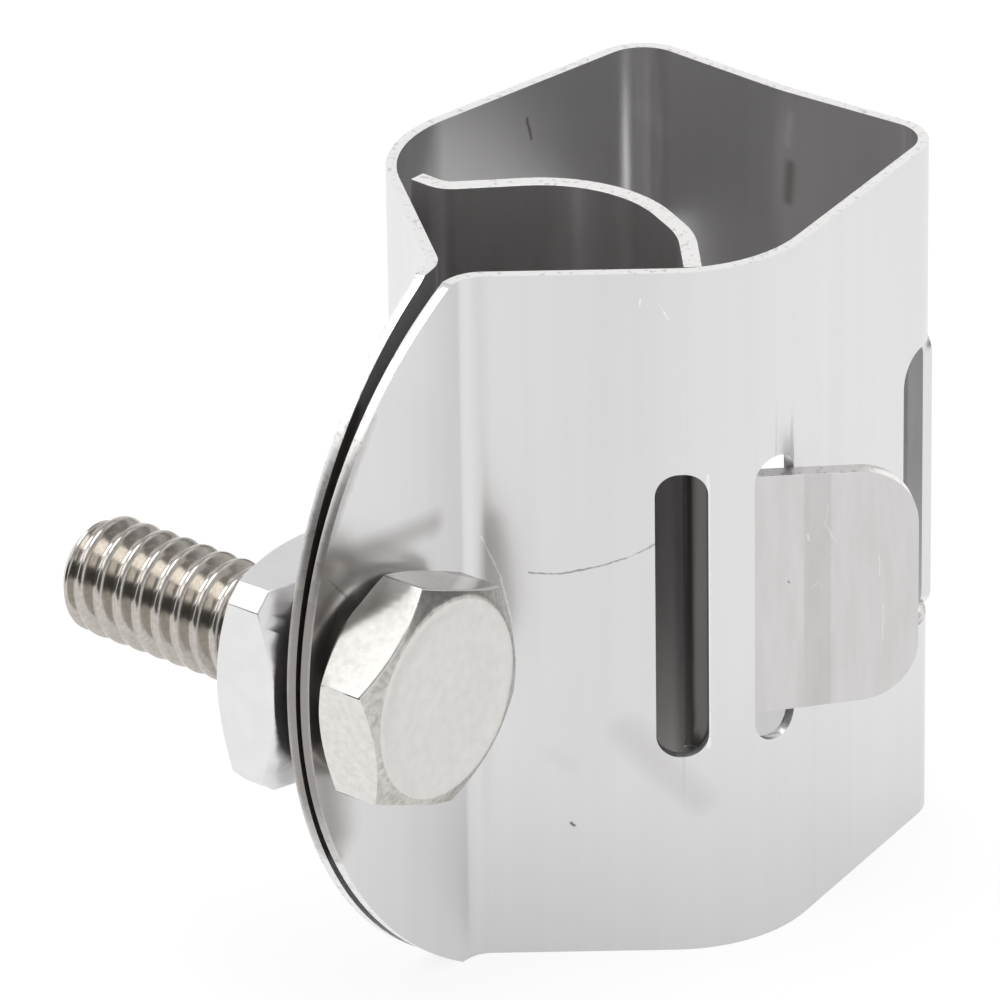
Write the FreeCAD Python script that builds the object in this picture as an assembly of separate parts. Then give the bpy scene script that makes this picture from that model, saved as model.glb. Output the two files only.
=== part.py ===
import FreeCAD, Part
import math
import os

# Folded sheet-metal cable clip: an outer strap bent round the cable, an inner
# curved saddle whose two tongues pass out through slots in the strap, and a
# hexagon bolt with its square nut through the two half-moon ears.
# The cable runs along Z. The bolt runs along X, its head on the +X side.
# The ears are on the -Y side and the flat back wall on the +Y side.
# The origin is on the bottom rim's plane, on the cable's own axis.

# Strap, one folded sheet
STRAP_WIDTH = 38.1
STRAP_SHEET = 0.56
BACK_Y = 7.55
BACK_HALF = 9.33
BACK_DISH = 0.5
SIDE_HALF = 11.85
SIDE_DEPTH = 17.87
FLARE_DEPTH = 9.2
NECK_HALF = 0.75
REAR_NECK_SET_BACK = 0.18
EAR_DEPTH = 12.58
EAR_TIP_GAP = 0.3
EAR_TIP_SHIFT = 0.27
REAR_EAR_BEND_RUN = 2.06
REAR_EAR_BEND_SHIFT = 0.43
EAR_ARC_RADIUS = 21.85
BACK_BEND = 2.15
DISH_BEND = 14.0
SIDE_BEND = 7.3
NECK_BEND = 2.2
REAR_EAR_BEND = 3.5

# Slots in the strap
SLOT_WIDTH = 2.68
SLOT_HEIGHT = 15.9
SLOT_CORNER = 1.25
SLOT_TO_BEND = 0.16
SLOT_PITCH = 4.85
BACK_SLOT_X = -1.05
CORNER_SLOT_REACH = 4.3
CORNER_SLOT_ROUND = 1.7
CORNER_TAB_BEND = 22.0
CORNER_TAB_REACH = 1.26
CORNER_TAB_ROUND = 1.2

# Saddle, one folded sheet
SADDLE_SHEET = 0.9
CREST_X = 0.06
CREST_Y = -6.12
SHOULDER_X = 6.85
SHOULDER_Y = -9.36
LEFT_CURL_X = 1.9
LEFT_CURL_DROP = 0.1
LEFT_CURL_BEND = 1.5
CREST_BEND = 6.9
SHOULDER_BEND = 6.0
FOLD_BEND = 0.7
FOLD_RUN_RIGHT = 2.8
FOLD_RUN_LEFT = 3.8
FOLD_INSET_LEFT = 0.35
KNEE_BEND = 3.0
TONGUE_ANGLE = 48.0
TONGUE_REACH = 8.75
TONGUE_HEIGHT = 13.3
TONGUE_TIP_HEIGHT = 12.9
TONGUE_RAISE = 0.27
TONGUE_CORNER = 3.1
TONGUE_ROOT_FILLET = 1.6
TONGUE_ROOT_START = 0.75
ROOT_RELIEF = 0.4
CHEEK_TRIM_LEFT = 0.15
LEFT_WINDOW_SETBACK = 0.67

# Hexagon bolt, square nut and their hole
SHANK_DIAMETER = 6.2
BOLT_LENGTH = 19.05
TIP_CHAMFER = 0.75
HEX_ACROSS_FLATS = 11.11
HEAD_HEIGHT = 4.0
HEAD_WASHER_FACE = 0.45
WASHER_FACE_DIAMETER = 10.3
HEX_CHAMFER_ANGLE = 30.0
HEAD_TOP_RADIUS = 5.28
HEAD_UNDER_RADIUS = 5.56
HEAD_TURN = 39.0
NUT_ACROSS_FLATS = 11.11
NUT_THICKNESS = 3.7
NUT_CORNER_BEVEL = 0.9
NUT_FACE_RADIUS = 5.5
NUT_CHAMFER_ANGLE = 27.0
NUT_COUNTERSINK = 0.6
BOLT_FROM_NECK = 7.48
HEAD_STAND_OFF = 0.27
NUT_STAND_OFF = 0.03
BOLT_HOLE_CLEARANCE = 0.47

# Clearances
SHEET_CLEARANCE = 0.05
TONGUE_SLOT_CLEARANCE = 0.05
BEARING_CLEARANCE = 0.03
NUT_RUNNING_CLEARANCE = 0.04

# How far a cutter runs past what it cuts
CUT_MARGIN = 2.0
TONGUE_CUT_MARGIN = 1.05

# Levels that follow from the sizes above
MID_Z = STRAP_WIDTH / 2.0
SIDE_Y = BACK_Y - SIDE_DEPTH
NECK_Y = SIDE_Y - FLARE_DEPTH
EAR_Y = NECK_Y - EAR_DEPTH
BOLT_Y = NECK_Y - BOLT_FROM_NECK
TONGUE_Z = MID_Z + TONGUE_RAISE


def vec(x, y, z=0.0):
    """Shorthand for a point or a direction."""
    return FreeCAD.Vector(x, y, z)


def turned(direction, degrees):
    """Turn a plan direction about Z."""
    a = math.radians(degrees)
    c = math.cos(a)
    s = math.sin(a)
    return vec(c * direction.x - s * direction.y, s * direction.x + c * direction.y)


def unit(a, b):
    """Unit plan direction from a to b."""
    d = b.sub(a)
    return d.multiply(1.0 / d.Length)


def left_of(direction):
    """Plan direction a quarter turn to the left."""
    return vec(-direction.y, direction.x)


def cross_z(a, b):
    """Z part of the cross product of two plan directions."""
    return a.x * b.y - a.y * b.x


def meeting_point(p, d, q, e):
    """Point where two plan lines meet."""
    k = cross_z(q.sub(p), e) / cross_z(d, e)
    return p.add(vec(d.x * k, d.y * k))


class BentPath:
    """Plan line of a bent sheet: straight runs joined by round bends.

    The corners are the sharp corners of the sheet's reference side, and each
    bend's radius is the radius of that same side.
    """

    def __init__(self, corners, radii):
        self.corners = corners
        self.radii = radii

    def shifted_corners(self, shift):
        """Corners of the line that lies at a distance to the left."""
        pts = self.corners
        last = len(pts) - 1
        out = [pts[0].add(left_of(unit(pts[0], pts[1])).multiply(shift))]
        for i in range(1, last):
            before = unit(pts[i - 1], pts[i])
            after = unit(pts[i], pts[i + 1])
            p = pts[i].add(left_of(before).multiply(shift))
            q = pts[i].add(left_of(after).multiply(shift))
            out.append(meeting_point(p, before, q, after))
        out.append(pts[last].add(left_of(unit(pts[last - 1], pts[last])).multiply(shift)))
        return out

    def pieces(self, shift):
        """Straight runs and arcs of the line at a distance to the left."""
        pts = self.shifted_corners(shift)
        out = []
        start = pts[0]
        for i in range(1, len(pts) - 1):
            before = unit(pts[i - 1], pts[i])
            after = unit(pts[i], pts[i + 1])
            turn = math.atan2(cross_z(before, after), before.dot(after))
            side = 1.0 if turn > 0 else -1.0
            radius = self.radii[i - 1] - side * shift
            tangent = radius * math.tan(abs(turn) / 2.0)
            a = pts[i].sub(vec(before.x * tangent, before.y * tangent))
            b = pts[i].add(vec(after.x * tangent, after.y * tangent))
            centre = a.add(left_of(before).multiply(side * radius))
            inward = unit(centre, pts[i])
            middle = centre.add(vec(inward.x * radius, inward.y * radius))
            out.append(("run", start, a))
            out.append(("bend", a, middle, b, centre, radius, turn))
            start = b
        out.append(("run", start, pts[-1]))
        return out

    def edges(self, shift):
        """Edges of the line at a distance to the left."""
        out = []
        for piece in self.pieces(shift):
            if piece[0] == "run":
                out.append(Part.makeLine(piece[1], piece[2]))
            else:
                out.append(Part.Arc(piece[1], piece[2], piece[3]).toShape())
        return out

    def sheet(self, from_shift, to_shift, z_low, z_high):
        """Solid sheet between two sides of the line and two levels."""
        first = self.edges(from_shift)
        second = self.edges(to_shift)
        a0 = self.pieces(from_shift)[0][1]
        b0 = self.pieces(to_shift)[0][1]
        a1 = self.pieces(from_shift)[-1][2]
        b1 = self.pieces(to_shift)[-1][2]
        caps = [Part.makeLine(a0, b0), Part.makeLine(a1, b1)]
        wire = Part.Wire(Part.__sortEdges__(first + second + caps))
        face = Part.Face(wire)
        face.translate(vec(0, 0, z_low))
        return face.extrude(vec(0, 0, z_high - z_low))

    def nearest_corner(self, point):
        """Number of the sharp corner that lies nearest to a point."""
        distances = [corner.sub(point).Length for corner in self.corners]
        return distances.index(min(distances))

    def at(self, corner, distance):
        """Point and direction at a distance past the middle of a bend."""
        run = []
        for piece in self.pieces(0.0):
            if piece[0] == "run":
                length = piece[2].sub(piece[1]).Length
            else:
                length = piece[5] * abs(piece[6])
            run.append((piece, length))
        place = sum(length for _, length in run[:2 * corner - 1])
        place += run[2 * corner - 1][1] / 2.0 + distance
        for piece, length in run:
            if place <= length:
                return point_on(piece, place)
            place -= length
        return point_on(run[-1][0], run[-1][1])


def point_on(piece, place):
    """Point and direction at a place along one run or bend."""
    if piece[0] == "run":
        d = unit(piece[1], piece[2])
        return piece[1].add(vec(d.x * place, d.y * place)), d
    side = 1.0 if piece[6] > 0 else -1.0
    angle = side * place / piece[5]
    arm = turned(piece[1].sub(piece[4]), math.degrees(angle))
    d = left_of(arm).multiply(side / arm.Length)
    return piece[4].add(arm), d


def mirrored(point):
    """Mirror a plan point in the plane between the two sides."""
    return vec(-point.x, point.y)


def strap_path():
    """Inner side of the strap, from the rear ear's tip to the front ear's tip."""
    rear_tip = vec(EAR_TIP_SHIFT - EAR_TIP_GAP / 2.0, EAR_Y)
    front_tip = vec(EAR_TIP_SHIFT + EAR_TIP_GAP / 2.0, EAR_Y)
    half = [vec(BACK_HALF, BACK_Y), vec(SIDE_HALF, SIDE_Y), vec(NECK_HALF, NECK_Y)]
    back_middle = vec(0, BACK_Y - BACK_DISH)
    rear_half = [mirrored(p) for p in reversed(half)]
    rear_half[0] = rear_half[0].add(vec(0, REAR_NECK_SET_BACK))
    ear_bend = rear_half[0].add(vec(REAR_EAR_BEND_SHIFT, -REAR_EAR_BEND_RUN))
    corners = [rear_tip, ear_bend] + rear_half + [back_middle] + half + [front_tip]
    radii = [REAR_EAR_BEND, NECK_BEND, SIDE_BEND, BACK_BEND, DISH_BEND]
    radii += [BACK_BEND, SIDE_BEND, NECK_BEND]
    return BentPath(corners, radii)


def side_bend(path):
    """Number of the front bend between the side wall and the flared wall."""
    return path.nearest_corner(vec(SIDE_HALF, SIDE_Y))


def back_bend(path):
    """Number of the front bend between the back wall and the side wall."""
    return path.nearest_corner(vec(BACK_HALF, BACK_Y))


def round_plate(point, direction, width, height, corner, depth):
    """Upright plate with rounded corners, centred on a point of the sheet."""
    w = width / 2.0 - corner
    h = height / 2.0 - corner
    across = Part.makeBox(width, 2 * h, depth, vec(-width / 2.0, -h, -depth / 2.0))
    along = Part.makeBox(2 * w, height, depth, vec(-w, -height / 2.0, -depth / 2.0))
    solid = across.fuse(along)
    for sx in (-1, 1):
        for sy in (-1, 1):
            pin = Part.makeCylinder(corner, depth, vec(sx * w, sy * h, -depth / 2.0))
            solid = solid.fuse(pin)
    normal = left_of(direction).multiply(-1.0)
    solid = solid.removeSplitter()
    solid.Placement = FreeCAD.Placement(FreeCAD.Matrix(
        direction.x, 0, normal.x, point.x,
        direction.y, 0, normal.y, point.y,
        0, 1, 0, MID_Z,
        0, 0, 0, 1))
    return solid


def both_sides(shape):
    """A shape together with its mirror image on the other side."""
    other = shape.mirror(vec(0, 0, 0), vec(1, 0, 0))
    return [shape, other]


def slot_places(path):
    """Middle of the tongue's slot and of the free slot in the flared wall."""
    bend = side_bend(path)
    tongue = path.at(bend, -SLOT_TO_BEND - SLOT_WIDTH / 2.0)
    free = path.at(bend, -SLOT_TO_BEND - SLOT_WIDTH / 2.0 + SLOT_PITCH)
    return tongue, free


def ear_trim():
    """Cutter that leaves the ears' half-moon outline."""
    reach = SIDE_HALF
    centre_y = EAR_Y + EAR_ARC_RADIUS
    start_y = centre_y - math.sqrt(EAR_ARC_RADIUS ** 2 - MID_Z ** 2)
    low = EAR_Y - CUT_MARGIN
    block = Part.makeBox(
        2 * reach, start_y - low, STRAP_WIDTH + 2 * CUT_MARGIN, vec(-reach, low, -CUT_MARGIN))
    disc = Part.makeCylinder(
        EAR_ARC_RADIUS, 2 * reach, vec(-reach, centre_y, MID_Z), vec(1, 0, 0))
    return block.cut(disc)


def corner_tab_root(path):
    """Point and direction where the back corner's bend ends beside its slot."""
    bend = path.pieces(0.0)[2 * back_bend(path) - 1]
    return point_on(bend, bend[5] * math.radians(CORNER_TAB_BEND))


def corner_wedge(path):
    """Region of the back corner between the tab's root and the slot's side edge."""
    root, along = corner_tab_root(path)
    out = left_of(along)
    side_y = BACK_Y + STRAP_SHEET - CORNER_SLOT_REACH
    inner = meeting_point(root, out, vec(0, side_y), vec(1, 0))
    ahead = vec(SIDE_HALF, 0)
    away = vec(out.x * SIDE_HALF, out.y * SIDE_HALF)
    points = [inner, inner.add(ahead), inner.add(ahead).add(away), inner.add(away)]
    face = Part.Face(Part.makePolygon(points + points[:1]))
    face.translate(vec(0, 0, MID_Z - SLOT_HEIGHT / 2.0))
    return face.extrude(vec(0, 0, SLOT_HEIGHT))


def corner_slot(path):
    """Cutter for the slot that crosses the back corner's bend."""
    root, along = corner_tab_root(path)
    back = back_bend(path)
    wall = unit(path.corners[back], path.corners[back + 1])
    side_y = BACK_Y + STRAP_SHEET - CORNER_SLOT_REACH
    side = meeting_point(path.corners[back], wall, vec(0, side_y), vec(1, 0))
    start = root.add(left_of(along).multiply(STRAP_SHEET))
    end = side.add(left_of(wall).multiply(STRAP_SHEET))
    middle = start.add(end).multiply(0.5)
    plate = round_plate(
        middle, unit(start, end), end.sub(start).Length, SLOT_HEIGHT,
        CORNER_SLOT_ROUND, STRAP_SHEET + 2 * CUT_MARGIN)
    return plate.common(corner_wedge(path))


def corner_tab(path):
    """Strip beside the corner slot, which the bend left straight."""
    root, along = corner_tab_root(path)
    middle = root.add(left_of(along).multiply(STRAP_SHEET / 2.0))
    plate = round_plate(
        middle, along, 2.0 * CORNER_TAB_REACH, SLOT_HEIGHT, CORNER_TAB_ROUND, STRAP_SHEET)
    return plate.common(corner_wedge(path))


def make_strap(path):
    """The outer strap with its ears, hole and slots."""
    body = path.sheet(0.0, STRAP_SHEET, 0.0, STRAP_WIDTH)
    body = body.cut(ear_trim())
    reach = NECK_HALF + STRAP_SHEET + CUT_MARGIN
    hole = Part.makeCylinder(
        SHANK_DIAMETER / 2.0 + BOLT_HOLE_CLEARANCE, 2 * reach,
        vec(-reach, BOLT_Y, MID_Z), vec(1, 0, 0))
    body = body.cut(hole)
    depth = STRAP_SHEET + 2 * CUT_MARGIN
    tongue, free = slot_places(path)
    cutters = []
    for point, direction in (tongue, free):
        cutter = round_plate(point, direction, SLOT_WIDTH, SLOT_HEIGHT, SLOT_CORNER, depth)
        cutters += both_sides(cutter)
    cutters += both_sides(corner_slot(path))
    back = vec(BACK_SLOT_X, BACK_Y)
    cutters.append(round_plate(back, vec(1, 0), SLOT_WIDTH, SLOT_HEIGHT, SLOT_CORNER, depth))
    for cutter in cutters:
        body = body.cut(cutter)
    for tab in both_sides(corner_tab(path)):
        body = body.fuse(tab)
    return body.removeSplitter()


def tongue_frame(path):
    """Point and directions of the tongue where it enters its slot."""
    edge, _ = path.at(side_bend(path), -SLOT_TO_BEND)
    out = turned(vec(1, 0), TONGUE_ANGLE)
    inward = left_of(out)
    gap = SADDLE_SHEET / 2.0 + TONGUE_SLOT_CLEARANCE
    knee = edge.add(vec(inward.x * gap, inward.y * gap))
    tip = knee.add(vec(out.x * TONGUE_REACH, out.y * TONGUE_REACH))
    return knee, tip, out, inward


def fold_point(path, run, extra):
    """Sharp corner of the saddle's fold, kept clear of the flared wall."""
    wall, along = path.at(side_bend(path), -SLOT_TO_BEND + run)
    inward = left_of(along).multiply(-1.0)
    gap = SADDLE_SHEET / 2.0 + SHEET_CLEARANCE + extra
    return wall.add(vec(inward.x * gap, inward.y * gap))


def saddle_corners(path):
    """Corners of the saddle's middle line, left tongue to right tongue."""
    knee, tip, _, _ = tongue_frame(path)
    right_fold = fold_point(path, FOLD_RUN_RIGHT, 0.0)
    left_fold = mirrored(fold_point(path, FOLD_RUN_LEFT, FOLD_INSET_LEFT))
    curl = left_fold.add(vec(LEFT_CURL_X, -LEFT_CURL_DROP))
    crest = vec(CREST_X, CREST_Y)
    shoulder = vec(SHOULDER_X, SHOULDER_Y)
    corners = [mirrored(tip), mirrored(knee), left_fold, curl]
    corners += [crest, shoulder, right_fold, knee, tip]
    return corners


def root_half_height():
    """Half height of the folded root behind the slot."""
    return TONGUE_HEIGHT / 2.0 + TONGUE_ROOT_FILLET


def make_arch(corners):
    """Full-height part of the saddle, without its folds."""
    left_fold = corners[2]
    right_fold = corners[6]
    first = unit(left_fold, corners[3])
    start = left_fold.add(vec(first.x * CHEEK_TRIM_LEFT, first.y * CHEEK_TRIM_LEFT))
    last = unit(corners[5], right_fold)
    over = SADDLE_SHEET / 2.0 - BEARING_CLEARANCE
    end = right_fold.add(vec(last.x * over, last.y * over))
    radii = [LEFT_CURL_BEND, CREST_BEND, SHOULDER_BEND]
    line = BentPath([start, corners[3], corners[4], corners[5], end], radii)
    half = SADDLE_SHEET / 2.0
    arch = line.sheet(-half, half, 0.0, STRAP_WIDTH)
    relief = root_half_height() + ROOT_RELIEF
    right_back = fold_tangent(corners[5], right_fold, corners[7])
    left_back = LEFT_WINDOW_SETBACK
    for point, direction, back in (
            (right_fold, last, right_back), (left_fold, first.multiply(-1.0), left_back)):
        arch = arch.cut(end_window(point, direction, back, relief))
    return arch


def fold_tangent(before, corner, after):
    """How far from its sharp corner the fold begins."""
    a = unit(before, corner)
    b = unit(corner, after)
    turn = math.atan2(cross_z(a, b), a.dot(b))
    return FOLD_BEND * math.tan(abs(turn) / 2.0)


def end_window(point, direction, back, half_height):
    """Cutter that opens the arch's end where the folded root leaves it."""
    side = left_of(direction)
    width = 2.0 * SADDLE_SHEET
    length = back + SADDLE_SHEET * 2.0
    a = point.sub(vec(direction.x * back, direction.y * back))
    a = a.sub(vec(side.x * width, side.y * width))
    b = a.add(vec(direction.x * length, direction.y * length))
    c = b.add(vec(side.x * 2 * width, side.y * 2 * width))
    d = a.add(vec(side.x * 2 * width, side.y * 2 * width))
    face = Part.Face(Part.makePolygon([a, b, c, d, a]))
    face.translate(vec(0, 0, TONGUE_Z - half_height))
    return face.extrude(vec(0, 0, 2 * half_height))


def tongue_trim(knee, out, inward):
    """Cutters that leave the tongue's rounded outline, above and below."""
    half = TONGUE_HEIGHT / 2.0
    tip_half = TONGUE_TIP_HEIGHT / 2.0
    root = root_half_height()
    r = TONGUE_ROOT_FILLET
    c = TONGUE_CORNER
    s0 = TONGUE_ROOT_START - r
    tip = TONGUE_REACH
    k = math.sqrt(0.5)
    top = root + CUT_MARGIN
    past = tip + CUT_MARGIN
    cutters = []
    for sign in (1.0, -1.0):
        def at(s, h):
            return vec(knee.x + out.x * s, knee.y + out.y * s, TONGUE_Z + sign * h)
        fillet = Part.Arc(at(s0, root), at(TONGUE_ROOT_START - k * r, root - k * r),
                          at(TONGUE_ROOT_START, half)).toShape()
        corner = Part.Arc(at(tip - c, tip_half), at(tip - c + k * c, tip_half - c + k * c),
                          at(tip, tip_half - c)).toShape()
        edges = [
            fillet,
            Part.makeLine(at(TONGUE_ROOT_START, half), at(tip - c, tip_half)),
            corner,
            Part.makeLine(at(tip, tip_half - c), at(past, tip_half - c)),
            Part.makeLine(at(past, tip_half - c), at(past, top)),
            Part.makeLine(at(past, top), at(s0, top)),
            Part.makeLine(at(s0, top), at(s0, root))]
        face = Part.Face(Part.Wire(edges))
        half_cut = SADDLE_SHEET / 2.0 + TONGUE_CUT_MARGIN
        face.translate(vec(-inward.x * half_cut, -inward.y * half_cut))
        cutters.append(face.extrude(vec(inward.x * 2 * half_cut, inward.y * 2 * half_cut)))
    return cutters


def make_saddle(path):
    """The inner saddle with its folds and tongues."""
    corners = saddle_corners(path)
    knee, _, out, inward = tongue_frame(path)
    radii = [KNEE_BEND, LEFT_CURL_BEND, LEFT_CURL_BEND, CREST_BEND]
    radii += [SHOULDER_BEND, FOLD_BEND, KNEE_BEND]
    line = BentPath(corners, radii)
    half = SADDLE_SHEET / 2.0
    root = root_half_height()
    band = line.sheet(-half, half, TONGUE_Z - root, TONGUE_Z + root)
    for cutter in tongue_trim(knee, out, inward):
        for shape in both_sides(cutter):
            band = band.cut(shape)
    return make_arch(corners).fuse(band).removeSplitter()


def hexagon(flats, height, turn, x, direction):
    """Hexagonal prism along X, starting at x."""
    radius = flats / 2.0 / math.cos(math.radians(30.0))
    points = []
    for k in range(7):
        a = math.radians(turn + 60.0 * k)
        points.append(vec(x, BOLT_Y + radius * math.cos(a), MID_Z + radius * math.sin(a)))
    face = Part.Face(Part.makePolygon(points))
    return face.extrude(vec(direction * height, 0, 0))


def corner_cone(radius, angle, x_face, direction, length):
    """Body of revolution that rounds off a prism's corners at one face.

    It has the given radius at the face, and from there it widens at the
    chamfer's angle.
    """
    widen = length / math.tan(math.radians(angle))
    return Part.makeCone(
        radius, radius + widen, length, vec(x_face, BOLT_Y, MID_Z), vec(direction, 0, 0))


def front_bearing(path):
    """X of the plane on which the bolt's head bears, just clear of the ear."""
    pieces = path.pieces(STRAP_SHEET)
    a, b = pieces[-1][1], pieces[-1][2]
    y = BOLT_Y + WASHER_FACE_DIAMETER / 2.0
    k = (y - a.y) / (b.y - a.y)
    return a.x + k * (b.x - a.x) + BEARING_CLEARANCE + HEAD_STAND_OFF


def rear_bearing(path):
    """X of the plane on which the nut bears, just clear of the rear ear."""
    pieces = path.pieces(STRAP_SHEET)
    a, b = pieces[0][1], pieces[0][2]
    y = BOLT_Y + NUT_FACE_RADIUS
    k = (y - a.y) / (b.y - a.y)
    return a.x + k * (b.x - a.x) - BEARING_CLEARANCE - NUT_STAND_OFF


def make_bolt(path):
    """Hexagon bolt with a washer face and a plain shank at its thread's crest."""
    x = front_bearing(path)
    hex_x = x + HEAD_WASHER_FACE
    body_height = HEAD_HEIGHT - HEAD_WASHER_FACE
    head = hexagon(HEX_ACROSS_FLATS, body_height, HEAD_TURN, hex_x, 1.0)
    angle = HEX_CHAMFER_ANGLE
    head = head.common(
        corner_cone(HEAD_TOP_RADIUS, angle, x + HEAD_HEIGHT, -1.0, body_height))
    head = head.common(corner_cone(HEAD_UNDER_RADIUS, angle, hex_x, 1.0, body_height))
    face = Part.makeCylinder(
        WASHER_FACE_DIAMETER / 2.0, HEAD_WASHER_FACE, vec(x, BOLT_Y, MID_Z), vec(1, 0, 0))
    shank = Part.makeCylinder(
        SHANK_DIAMETER / 2.0, BOLT_LENGTH, vec(x - BOLT_LENGTH, BOLT_Y, MID_Z), vec(1, 0, 0))
    tip_x = x - BOLT_LENGTH
    cone = Part.makeCone(
        SHANK_DIAMETER / 2.0 - TIP_CHAMFER, SHANK_DIAMETER / 2.0 - TIP_CHAMFER + BOLT_LENGTH,
        BOLT_LENGTH, vec(tip_x, BOLT_Y, MID_Z), vec(1, 0, 0))
    shank = shank.common(cone)
    return head.fuse(face).fuse(shank).removeSplitter()


def square_prism(x):
    """Square prism with bevelled corner edges, from x towards the bolt's tip."""
    half = NUT_ACROSS_FLATS / 2.0
    short = half - NUT_CORNER_BEVEL
    points = []
    for k in range(4):
        for y, z in ((half, -short), (half, short)):
            quarter = turned(vec(y, z), 90.0 * k)
            points.append(vec(x, BOLT_Y + quarter.x, MID_Z + quarter.y))
    face = Part.Face(Part.makePolygon(points + points[:1]))
    return face.extrude(vec(-NUT_THICKNESS, 0, 0))


def make_nut(path):
    """Square nut, its corners bevelled and chamfered on both faces, with a plain bore."""
    x = rear_bearing(path)
    outer_x = x - NUT_THICKNESS
    nut = square_prism(x)
    radius = SHANK_DIAMETER / 2.0 + NUT_RUNNING_CLEARANCE
    for x_face, direction in ((x, -1.0), (outer_x, 1.0)):
        nut = nut.common(corner_cone(
            NUT_FACE_RADIUS, NUT_CHAMFER_ANGLE, x_face, direction, NUT_THICKNESS))
    bore = Part.makeCylinder(
        radius, NUT_THICKNESS + 2 * CUT_MARGIN, vec(x + CUT_MARGIN, BOLT_Y, MID_Z),
        vec(-1, 0, 0))
    nut = nut.cut(bore)
    for x_face, direction in ((x, -1.0), (outer_x, 1.0)):
        sink = Part.makeCone(
            radius + NUT_COUNTERSINK, radius, NUT_COUNTERSINK,
            vec(x_face, BOLT_Y, MID_Z), vec(direction, 0, 0))
        nut = nut.cut(sink)
    return nut


def main():
    """Build each piece and write its STEP file."""
    os.makedirs("parts", exist_ok=True)
    path = strap_path()
    pieces = {
        "clip_strap": make_strap(path),
        "cable_saddle": make_saddle(path),
        "hex_bolt": make_bolt(path),
        "square_nut": make_nut(path),
    }
    for name, shape in pieces.items():
        shape.exportStep("parts/" + name + ".step")
        box = shape.BoundBox
        print(name, "solids", len(shape.Solids), "valid", shape.isValid(),
              "volume %.1f" % shape.Volume,
              "x %.2f %.2f y %.2f %.2f z %.2f %.2f" % (
                  box.XMin, box.XMax, box.YMin, box.YMax, box.ZMin, box.ZMax))


main()
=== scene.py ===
"""Dress a folded-strap cable clip in rolled stainless sheet, with its bolt and square nut."""

import logging
import math
from dataclasses import dataclass, field
from enum import Enum

import bmesh
import bpy
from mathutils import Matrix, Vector

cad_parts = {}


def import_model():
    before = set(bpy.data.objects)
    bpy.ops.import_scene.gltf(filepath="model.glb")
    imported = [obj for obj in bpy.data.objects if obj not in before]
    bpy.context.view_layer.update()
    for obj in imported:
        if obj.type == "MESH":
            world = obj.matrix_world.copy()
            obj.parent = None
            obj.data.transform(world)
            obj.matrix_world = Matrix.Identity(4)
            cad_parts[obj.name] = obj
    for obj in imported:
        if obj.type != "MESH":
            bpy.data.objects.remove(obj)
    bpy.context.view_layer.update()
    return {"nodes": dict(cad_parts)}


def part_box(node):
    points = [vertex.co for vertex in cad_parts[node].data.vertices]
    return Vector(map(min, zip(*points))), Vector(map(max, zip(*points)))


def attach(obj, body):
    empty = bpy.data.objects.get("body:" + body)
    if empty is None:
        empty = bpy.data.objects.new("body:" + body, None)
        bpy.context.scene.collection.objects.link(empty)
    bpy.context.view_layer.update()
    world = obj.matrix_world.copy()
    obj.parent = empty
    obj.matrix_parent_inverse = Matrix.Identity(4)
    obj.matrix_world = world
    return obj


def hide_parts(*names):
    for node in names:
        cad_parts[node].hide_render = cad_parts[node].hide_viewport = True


LOG = logging.getLogger("cable_clip")
MM = 0.001
Socket = bpy.types.NodeSocket
Point = tuple[float, float, float]
# A row of the bolt's mesh: its place along the axis and its radius at each column.
Row = list[tuple[float, float]]

# Turn from one side of a hexagon to the next, and from a side's middle to its corner, in degrees.
SIDE_TURN = 60.0
HALF_SIDE = SIDE_TURN / 2.0
# Points of the frame's meshes, and of the bolt's own, that lie nearer than this are one, in metres.
FRAME_WELD = 1e-6
BOLT_WELD = 1e-7
# Facets within this angle of each other are one flat face, in degrees.
FLAT_ANGLE = 0.3
# Steps in the rounding of an edge, and how far a large face outweighs a small one in the shading.
EDGE_STEPS = 2
NORMAL_WEIGHT = 90

# The part of the noise's range over which the clean metal gives way to its duller streaks.
STREAK_SPAN = (0.35, 0.7)
# The part of the noise's range over which roughness swings, and the share of it that it swings by.
WAVE_SPAN = (0.1, 0.9)
ROUGHNESS_SWING = 0.04
# Upward slope of a face's normal over which a rolled face becomes a cut rim.
RIM_SLOPE = (0.25, 0.6)
# Cut and torn metal of a sheared rim: how much of the noise is torn, how strongly, and the finish.
TEAR_SPAN = (0.55, 0.72)
TEAR_SHARE = 0.5
CUT_METAL = "F3F2F1"
TORN_METAL = "8F8B86"
CUT_ROUGHNESS = 0.3
# Size of the torn spots on a sheared rim, coarser than real so that they show.
TEAR_MM = 0.35
# Size and depth of the bites in the edge of a mark, a scratch or scuff or a painted shade.
BITE_MM = 0.35
BITE_DEPTH_MM = 0.14


def linear(hex_colour: str) -> tuple[float, float, float, float]:
    """Turn an sRGB hex colour to the linear values that a shader takes.

    Args:
        hex_colour: six hex digits, red, green and blue.

    Returns:
        Linear red, green, blue and an alpha of 1.
    """
    out = []
    for i in (0, 2, 4):
        c = int(hex_colour[i:i + 2], 16) / 255.0
        out.append(c / 12.92 if c <= 0.04045 else ((c + 0.055) / 1.055) ** 2.4)
    return (out[0], out[1], out[2], 1.0)


def add_node(tree: bpy.types.NodeTree, kind: str, inputs: dict | None = None,
             **settings: object) -> bpy.types.Node:
    """Add a shader node with its settings, values and links.

    Args:
        tree: the material's node tree.
        kind: the node's type name.
        inputs: a value or another node's output for each input, by name or number.
        settings: the node's own attributes.

    Returns:
        The new node.
    """
    node = tree.nodes.new(kind)
    for name, value in settings.items():
        setattr(node, name, value)
    for key, value in (inputs or {}).items():
        if isinstance(value, bpy.types.NodeSocket):
            tree.links.new(value, node.inputs[key])
        else:
            node.inputs[key].default_value = value
    return node


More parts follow.
